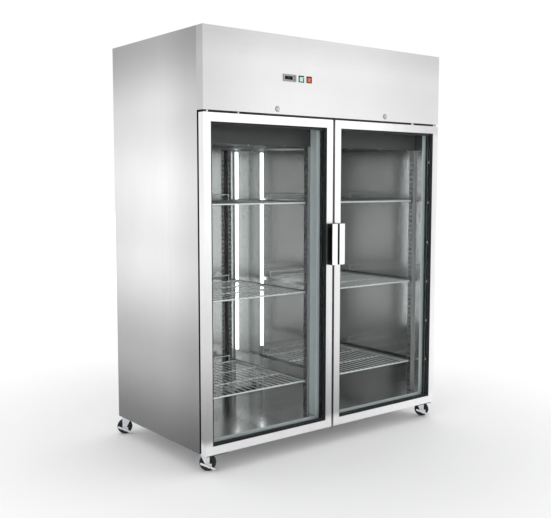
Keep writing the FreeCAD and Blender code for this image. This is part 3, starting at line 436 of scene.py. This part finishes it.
def add_screw(bm, place, axis, radius=4 * MM):
    """Adds a pan-head screw; its recess is a shallow dish."""
    profile = [(0, radius), (radius * 0.25, radius), (radius * 0.5, radius * 0.8),
               (radius * 0.6, radius * 0.45), (radius * 0.3, radius * 0.3), (radius * 0.3, 0)]
    add_lathe(bm, profile, place, axis, 16)


# ---------------------------------------------------------------- the CAD nodes' finishes
EDGES = {
    "side_panel_left": 1.2, "side_panel_right": 1.2, "fascia": 1.6, "top_cover": 0.5, "front_frame": 0.5,
    "left_door_frame": 1.2, "right_door_frame": 1.2, "left_door_handle_plate": 0.6,
    "right_door_handle_plate": 0.6, "left_door_handle_grip": 1.0, "right_door_handle_grip": 1.0,
    "controller": 0.6, "switch_bezels": 0.7, "rocker_green": 0.8, "rocker_orange": 0.8,
    "lock_barrels": 0.6, "lock_cam_left": 0.4, "lock_cam_right": 0.4, "hinge_plates": 0.6,
    "compressor": 1.5, "air_duct": 0.3,
}


def dress_nodes(materials):
    """Gives every CAD node its material and soft edges."""
    for part in frame["record"]["subparts"]:
        obj = NODES[part["node"]]
        obj.data.materials.clear()
        obj.data.materials.append(materials[part["material_slot"]])
        for polygon in obj.data.polygons:
            polygon.material_index = 0
        finish_edges(obj, EDGES.get(part["node"], 0.0) * MM, smooth=30)


# ---------------------------------------------------------------- added detail
def door_gaskets(materials):
    """Bellows seals on the backs of the doors, in place of their plain rings."""
    for side in ("left", "right"):
        node = side + "_door_gasket"
        low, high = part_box(node)
        carrier, lip = 2.0 * MM, 24.0 * MM
        depth = high[1] - low[1]
        bm = bmesh.new()
        add_ring(bm, low[0], high[0], low[2], high[2],
                 [(0, low[1]), (40 * MM, low[1]), (40.5 * MM, low[1] + carrier),
                  (0.5 * MM, low[1] + carrier)])
        folds = [(0, 0.1), (-0.9, 0.3), (1.1, 0.48), (-0.6, 0.7), (0.6, 0.86), (0.6, 1.0),
                 (14, 1.0), (14, 0.86), (15.2, 0.7), (13.5, 0.48), (15.5, 0.3), (14.6, 0.1)]
        add_ring(bm, low[0], high[0], low[2], high[2],
                 [(lip + u * MM, low[1] + share * depth) for u, share in folds])
        ring = piece(side + "_door_bellows", bm, side + "_door", materials["gasket_rubber"],
                     0.3 * MM)
        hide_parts(node)


def glazing_beads(materials):
    """Black beads between frames and outer panes, and light setting blocks on the hinge sides."""
    lap, face_room = 0.6 * MM, 0.2 * MM
    inset, half_width, half_height, depth_room = 11.2 * MM, 1.5 * MM, 5 * MM, 3 * MM
    first_share, share_step = 0.107, 0.15    # of the spacer's height, down from its top
    for side in ("left", "right"):
        low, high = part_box(side + "_door_glass")
        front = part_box(side + "_door_frame")[0][1]
        face = low[1] - face_room
        bm = bmesh.new()
        add_ring(bm, low[0] - lap, high[0] + lap, low[2] - lap, high[2] + lap,
                 [(0, front + 1.6 * MM), (1.2 * MM, front + 2.2 * MM), (3.0 * MM, face), (0, face)])
        piece(side + "_glazing_bead", bm, side + "_door", materials["black_plastic"],
              0.3 * MM)
        low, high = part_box(side + "_door_spacer")
        x = low[0] + inset if side == "left" else high[0] - inset
        bm = bmesh.new()
        for index in range(6):
            z = high[2] - (first_share + share_step * index) * (high[2] - low[2])
            add_block(bm, (x - half_width, low[1] + depth_room, z - half_height),
                      (x + half_width, high[1] - depth_room, z + half_height))
        piece(side + "_setting_blocks", bm, side + "_door", materials["white_plastic"],
              0.4 * MM)


def breaker_strip(materials):
    """Black plastic trim on the cabinet's front edge, seen in the gaps round the doors."""
    doors_low, doors_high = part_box("left_door_frame")[0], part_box("right_door_frame")[1]
    fascia_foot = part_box("fascia")[0][2]
    width, thickness, edge = 19 * MM, 0.7 * MM, 0.6 * MM
    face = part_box("side_panel_left")[0][1]
    bm = bmesh.new()
    add_ring(bm, doors_low[0] + edge, doors_high[0] - edge, doors_low[2] + edge, fascia_foot - edge,
             [(0, face), (width, face), (width, face - thickness), (0, face - thickness)])
    piece("breaker_strip", bm, "cabinet", materials["black_plastic"])


def hinge_bosses(materials):
    """Bright bosses on the hinges' pins, and screw heads at the far ends of their plates."""
    boss_radius, head_radius, rim = 12.7 * MM, 10 * MM, 1 * MM
    screw_inset, screw_forward = 176 * MM, 2.6 * MM
    door_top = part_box("left_door_frame")[1][2]
    fascia_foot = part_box("fascia")[0][2]
    bottom, height = door_top + 1 * MM, fascia_foot - door_top - 1.6 * MM
    low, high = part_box("hinge_plates")
    for side, way in (("left", -1), ("right", 1)):
        pin = Vector(JOINTS[side + "_door_hinge"]["pos_m"])
        end = way * (max(abs(low[0]), abs(high[0])) - screw_inset)
        bm = bmesh.new()
        for x, y, radius in ((pin.x, pin.y, boss_radius), (end, pin.y - screw_forward, head_radius)):
            profile = [(0, 0), (0, radius - rim), (rim, radius), (height - rim, radius),
                       (height, radius - rim), (height, 0)]
            add_lathe(bm, profile, Vector((x, y, bottom)), UP, 24)
        piece(side + "_hinge_bosses", bm, "cabinet", materials["lock_chrome"])


def lock_painted_shadows(materials):
    """Painted shadow: black rings where the grooves round each lock's key plug and its ring fall into shade.
    """
    depth = 0.5 * MM
    for side in ("left", "right"):
        centre = Vector(JOINTS[side + "_lock_turn"]["pos_m"])
        centre.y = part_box("lock_cam_" + side)[0][1]
        bm = bmesh.new()
        for inner, outer, back in ((5.2 * MM, 8.0 * MM, -0.1 * MM), (11.1 * MM, 13.4 * MM, 3.2 * MM)):
            add_lathe(bm, [(-back, inner), (-back, outer), (-back - depth, outer), (-back - depth, inner)],
                      centre, Vector((0, -1, 0)), 32, closed=True)
        piece(side + "_lock_groove_shadows", bm, "cabinet", materials["black_plastic"])


def fan_guards(materials):
    """Wire guards over the evaporator fan's mouth and the condenser fan."""
    radius, mouth_drop, shroud_room = 97 * MM, 2 * MM, 6 * MM
    low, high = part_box("evaporator_fan")
    centre = Vector(((low[0] + high[0]) / 2, (low[1] + high[1]) / 2,
                     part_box("evaporator_housing")[0][2] - mouth_drop))
    wire_guard("evaporator_fan_guard", centre, UP, radius, materials)
    low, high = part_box("condenser_fan")
    centre = Vector(((low[0] + high[0]) / 2, high[1] + shroud_room, (low[2] + high[2]) / 2))
    wire_guard("condenser_fan_guard", centre, Vector((0, 1, 0)), radius, materials)


def wire_guard(name, centre, axis, radius, materials):
    """Concentric wire rings joined by radial wires."""
    wire = 1.2 * MM
    turn = UP.rotation_difference(axis).to_matrix()
    bm = bmesh.new()
    rings = 7
    for index in range(1, rings + 1):
        ring_radius = radius * index / rings
        profile = [(wire * math.sin(2 * math.pi * k / 6), ring_radius + wire * math.cos(2 * math.pi * k / 6))
                   for k in range(6)]
        add_lathe(bm, profile, centre, axis, 48, closed=True)
    for k in range(6):
        ray = turn @ Vector((math.cos(k * math.pi / 3), math.sin(k * math.pi / 3), 0))
        start = centre + ray * radius / rings
        add_lathe(bm, [(0, wire), (radius * (rings - 1) / rings, wire)], start, ray, 6)
    piece(name, bm, "cabinet", materials["shelf_wire"])


def panel_screws(materials):
    """Screws of the rear panels, the top cover and the evaporator housing."""
    edge, top_radius, top_sunk = 12 * MM, 3 * MM, 1.8 * MM
    housing_edge, housing_front, housing_back = 40 * MM, 16 * MM, 90 * MM
    bm = bmesh.new()
    for low, high in (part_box("back_panel"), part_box("rear_grille")):
        for x in screw_row(low[0], high[0], edge, 6):
            for z in (low[2] + edge, high[2] - edge):
                add_screw(bm, Vector((x, high[1], z)), Vector((0, 1, 0)))
    piece("rear_screws", bm, "cabinet", materials["caster_steel"])
    low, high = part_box("top_cover")
    bm = bmesh.new()
    for x in screw_row(low[0], high[0], edge, 5):
        for y in (low[1] + edge, high[1] - edge):
            add_screw(bm, Vector((x, y, high[2] - top_sunk)), UP, top_radius)
    piece("top_screws", bm, "cabinet", materials["caster_steel"])
    low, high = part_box("evaporator_housing")
    bm = bmesh.new()
    for x in screw_row(low[0], high[0], housing_edge, 7):
        for y in (low[1] + housing_front, high[1] - housing_back):
            add_screw(bm, Vector((x, y, low[2])), Vector((0, 0, -1)))
    piece("housing_screws", bm, "cabinet", materials["shelf_wire"])


def screw_row(low, high, edge, count):
    """Evenly spaced places between two ends, the outer ones an edge inwards."""
    return [low + edge + k * (high - low - 2 * edge) / (count - 1) for k in range(count)]


def display(materials):
    """Thermostat window: a dark lens, its pale rim and two lit seven-segment digits."""
    low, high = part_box("controller")
    side_room, key_room, end_room, rim = 8.3 * MM, 6.3 * MM, 7.3 * MM, 0.8 * MM
    x0, x1 = low[0] + side_room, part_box("key_down")[0][0] - key_room
    z0, z1 = low[2] + end_room, high[2] - end_room
    y = low[1]
    bm = bmesh.new()
    add_block(bm, (x0, y + 0.2 * MM, z0), (x1, y + 0.55 * MM, z1))
    piece("display_lens", bm, "cabinet", materials["lens"], 0.15 * MM)
    bm = bmesh.new()
    add_ring(bm, x0 - rim, x1 + rim, z0 - rim, z1 + rim,
             [(0, y + 0.1 * MM), (rim, y + 0.1 * MM), (rim, y - 0.25 * MM), (0, y - 0.25 * MM)])
    piece("display_rim", bm, "cabinet", materials["white_plastic"])
    height, width, half_stroke = 0.62 * (z1 - z0), 0.48 * (z1 - z0), 0.55 * MM
    foot = (z0 + z1) / 2 - 0.5 * height
    strokes = {"a": (0, 1, 1, 1), "b": (1, 0.5, 1, 1), "c": (1, 0, 1, 0.5), "d": (0, 0, 1, 0),
               "e": (0, 0, 0, 0.5), "f": (0, 0.5, 0, 1), "g": (0, 0.5, 1, 0.5)}
    bm = bmesh.new()
    for start, digit in ((x0 + 12 * MM, "abcdef"), (x0 + 22 * MM, "bcfg")):
        for key in digit:
            u0, v0, u1, v1 = strokes[key]
            add_block(bm, (start + u0 * width - half_stroke, y + 0.05 * MM, foot + v0 * height - half_stroke),
                      (start + u1 * width + half_stroke, y + 0.22 * MM, foot + v1 * height + half_stroke))
    piece("display_digits", bm, "cabinet", materials["digits"])


def rocker_marks(materials):
    """Raised bar on each rocker's upper half."""
    half_width, bar_low, bar_high, front, back = 0.6 * MM, 4 * MM, 8 * MM, 1.7 * MM, 2.6 * MM
    for name in ("rocker_green", "rocker_orange"):
        low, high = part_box(name)
        x = (low[0] + high[0]) / 2
        z = (low[2] + high[2]) / 2
        bm = bmesh.new()
        add_block(bm, (x - half_width, low[1] + front, z + bar_low),
                  (x + half_width, low[1] + back, z + bar_high))
        piece(name + "_mark", bm, name, materials["white_plastic"], 0.15 * MM)


def caster_details(materials):
    """Tread ribs, hub rims, axle bolts and ball race of each caster."""
    rib_foot, rib_crest, rib_sunk, rib_lap = 0.9, 0.5, 0.5 * MM, 0.02 * MM
    bolt_radius, bolt_height, bolt_out = 5.2 * MM, 3.2 * MM, 21 * MM
    for place in ("front_left", "front_right", "back_left", "back_right"):
        low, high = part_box("caster_wheel_" + place)
        axis = Vector(JOINTS["caster_roll_" + place]["axis"])
        centre = Vector(((low[0] + high[0]) / 2, (low[1] + high[1]) / 2, (low[2] + high[2]) / 2))
        radius = (high[2] - low[2]) / 2
        bm = bmesh.new()
        for offset in (-6, -2, 2, 6):
            profile = [((offset - rib_foot) * MM, radius - rib_sunk),
                       ((offset - rib_crest) * MM, radius - rib_lap),
                       ((offset + rib_crest) * MM, radius - rib_lap),
                       ((offset + rib_foot) * MM, radius - rib_sunk)]
            add_lathe(bm, profile, centre, axis, 48, closed=True)
        for side in (-1, 1):
            rim = [(side * 8.6 * MM, 23.5 * MM), (side * 9.6 * MM, 22.5 * MM), (side * 9.6 * MM, 20.5 * MM),
                   (side * 8.4 * MM, 19.5 * MM)]
            add_lathe(bm, rim, centre, axis, 40, closed=True)
        piece("caster_tread_" + place, bm, "caster_wheel_" + place, materials["tyre_black"])
        bm = bmesh.new()
        for side in (-1, 1):
            add_lathe(bm, hex_bolt(bolt_radius, bolt_height), centre + axis * side * bolt_out, axis * side, 6)
        piece("caster_bolts_" + place, bm, "caster_fork_" + place, materials["caster_steel"],
              0.3 * MM)
        pivot = Vector(JOINTS["caster_swivel_" + place]["pos_m"])
        pivot.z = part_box("caster_fork_" + place)[1][2]
        bm = bmesh.new()
        race = [(-1.5 * MM, 19 * MM), (-0.2 * MM, 20.5 * MM), (-0.2 * MM, 17 * MM)]
        add_lathe(bm, race, pivot, UP, 36, closed=True)
        piece("caster_race_" + place, bm, "caster_fork_" + place, materials["caster_steel"])


def hex_bolt(radius, height):
    """Profile of a bolt head with a chamfered face."""
    return [(0, radius), (height * 0.75, radius), (height, radius * 0.82), (height, 0)]


# ---------------------------------------------------------------- camera and light
def stage():
    """Pale floor, soft studio light and the camera."""
    g = Graph("floor")
    distance = g.add("ShaderNodeVectorMath", operation="LENGTH")
    g.feed(distance, 0, g.place)
    # Painted light: away from the object the floor pales to white and glows more, so that it blends into the
    # white background.
    far = g.spread(distance.outputs["Value"], 0.0, 1.0, 1.2, 4.5)
    g.feed(g.shader, "Base Color", g.blend(far, (0.96, 0.96, 0.96), (1.0, 1.0, 1.0)))
    g.feed(g.shader, "Roughness", 0.8)
    g.shader.inputs["Emission Color"].default_value = (1.0, 1.0, 1.0, 1.0)
    g.feed(g.shader, "Emission Strength", g.spread(far, 0.03, 0.3))
    bm = bmesh.new()
    bmesh.ops.create_grid(bm, x_segments=1, y_segments=1, size=30)
    mesh = bpy.data.meshes.new("floor")
    bm.to_mesh(mesh)
    bm.free()
    ground = bpy.data.objects.new("floor", mesh)
    ground.location.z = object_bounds()[0][2] - 0.0005
    mesh.materials.append(g.material)
    bpy.context.scene.collection.objects.link(ground)
    ground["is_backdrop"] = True
    world()
    lamps()
    true_colours()
    camera()


def world():
    """White surroundings, dimmer to the left and behind, which the steel reflects."""
    scene = bpy.context.scene
    scene.world = scene.world or bpy.data.worlds.new("world")
    scene.world.use_nodes = True
    tree = scene.world.node_tree
    tree.nodes.clear()
    place = tree.nodes.new("ShaderNodeTexCoord")
    turn = tree.nodes.new("ShaderNodeVectorMath")
    turn.operation = "DOT_PRODUCT"
    turn.inputs[1].default_value = Vector((0.75, -0.62, 0.22)).normalized()
    tree.links.new(place.outputs["Generated"], turn.inputs[0])
    ramp = tree.nodes.new("ShaderNodeValToRGB")
    tree.links.new(turn.outputs["Value"], ramp.inputs["Fac"])
    ramp.color_ramp.elements[0].position = 0.0
    ramp.color_ramp.elements[0].color = (0.86, 0.86, 0.87, 1)
    ramp.color_ramp.elements[1].position = 0.75
    ramp.color_ramp.elements[1].color = (1.0, 1.0, 1.0, 1)
    around = tree.nodes.new("ShaderNodeBackground")
    tree.links.new(ramp.outputs["Color"], around.inputs["Color"])
    around.inputs["Strength"].default_value = WORLD_STRENGTH
    white = tree.nodes.new("ShaderNodeBackground")
    white.inputs["Color"].default_value = (1, 1, 1, 1)
    white.inputs["Strength"].default_value = 1.0
    path = tree.nodes.new("ShaderNodeLightPath")
    mix = tree.nodes.new("ShaderNodeMixShader")
    out = tree.nodes.new("ShaderNodeOutputWorld")
    tree.links.new(path.outputs["Is Camera Ray"], mix.inputs[0])
    tree.links.new(around.outputs[0], mix.inputs[1])
    tree.links.new(white.outputs[0], mix.inputs[2])
    tree.links.new(mix.outputs[0], out.inputs["Surface"])


def area_lamp(name, place, target, size, power):
    """A rectangular lamp at a place, turned to a target."""
    light = bpy.data.lights.new(name, "AREA")
    light.shape = "RECTANGLE"
    light.size, light.size_y = size
    light.energy = power
    obj = bpy.data.objects.new(name, light)
    obj.location = place
    obj.rotation_euler = (Vector(target) - Vector(place)).to_track_quat("-Z", "Y").to_euler()
    bpy.context.scene.collection.objects.link(obj)


def lamps():
    """Soft boxes: a large one to the front right and a weaker one to the left."""
    area_lamp("key", (3.4, -4.6, 3.4), (0, 0, 1.2), (2.6, 2.6), 14)
    area_lamp("fill", (-4.5, -1.0, 2.6), (0, 0, 1.0), (2.0, 2.6), 8)


def true_colours():
    """The plain view transform, so that white is white, and enough light paths for two double panes."""
    settings = bpy.context.scene.view_settings
    settings.view_transform = "Standard"
    settings.look = "None"
    paths = bpy.context.scene.cycles
    paths.transparent_max_bounces = 32
    paths.glossy_bounces = 6


def camera():
    """Eye height in front of the left-hand corner, looking across the doors."""
    lens = bpy.data.cameras.new("camera")
    lens.lens = 53.15
    lens.sensor_width = 36.0
    obj = bpy.data.objects.new("camera", lens)
    obj.location = (-2.6277, -3.2922, 1.2761)
    obj.rotation_euler = Vector((0.61369, 0.78417, -0.0920)).to_track_quat("-Z", "Y").to_euler()
    bpy.context.scene.collection.objects.link(obj)
    bpy.context.scene.camera = obj


materials = make_materials()
dress_nodes(materials)
for build in (door_gaskets, glazing_beads, breaker_strip, hinge_bosses, lock_painted_shadows, fan_guards,
              panel_screws, display, rocker_marks, caster_details):
    build(materials)
stage()
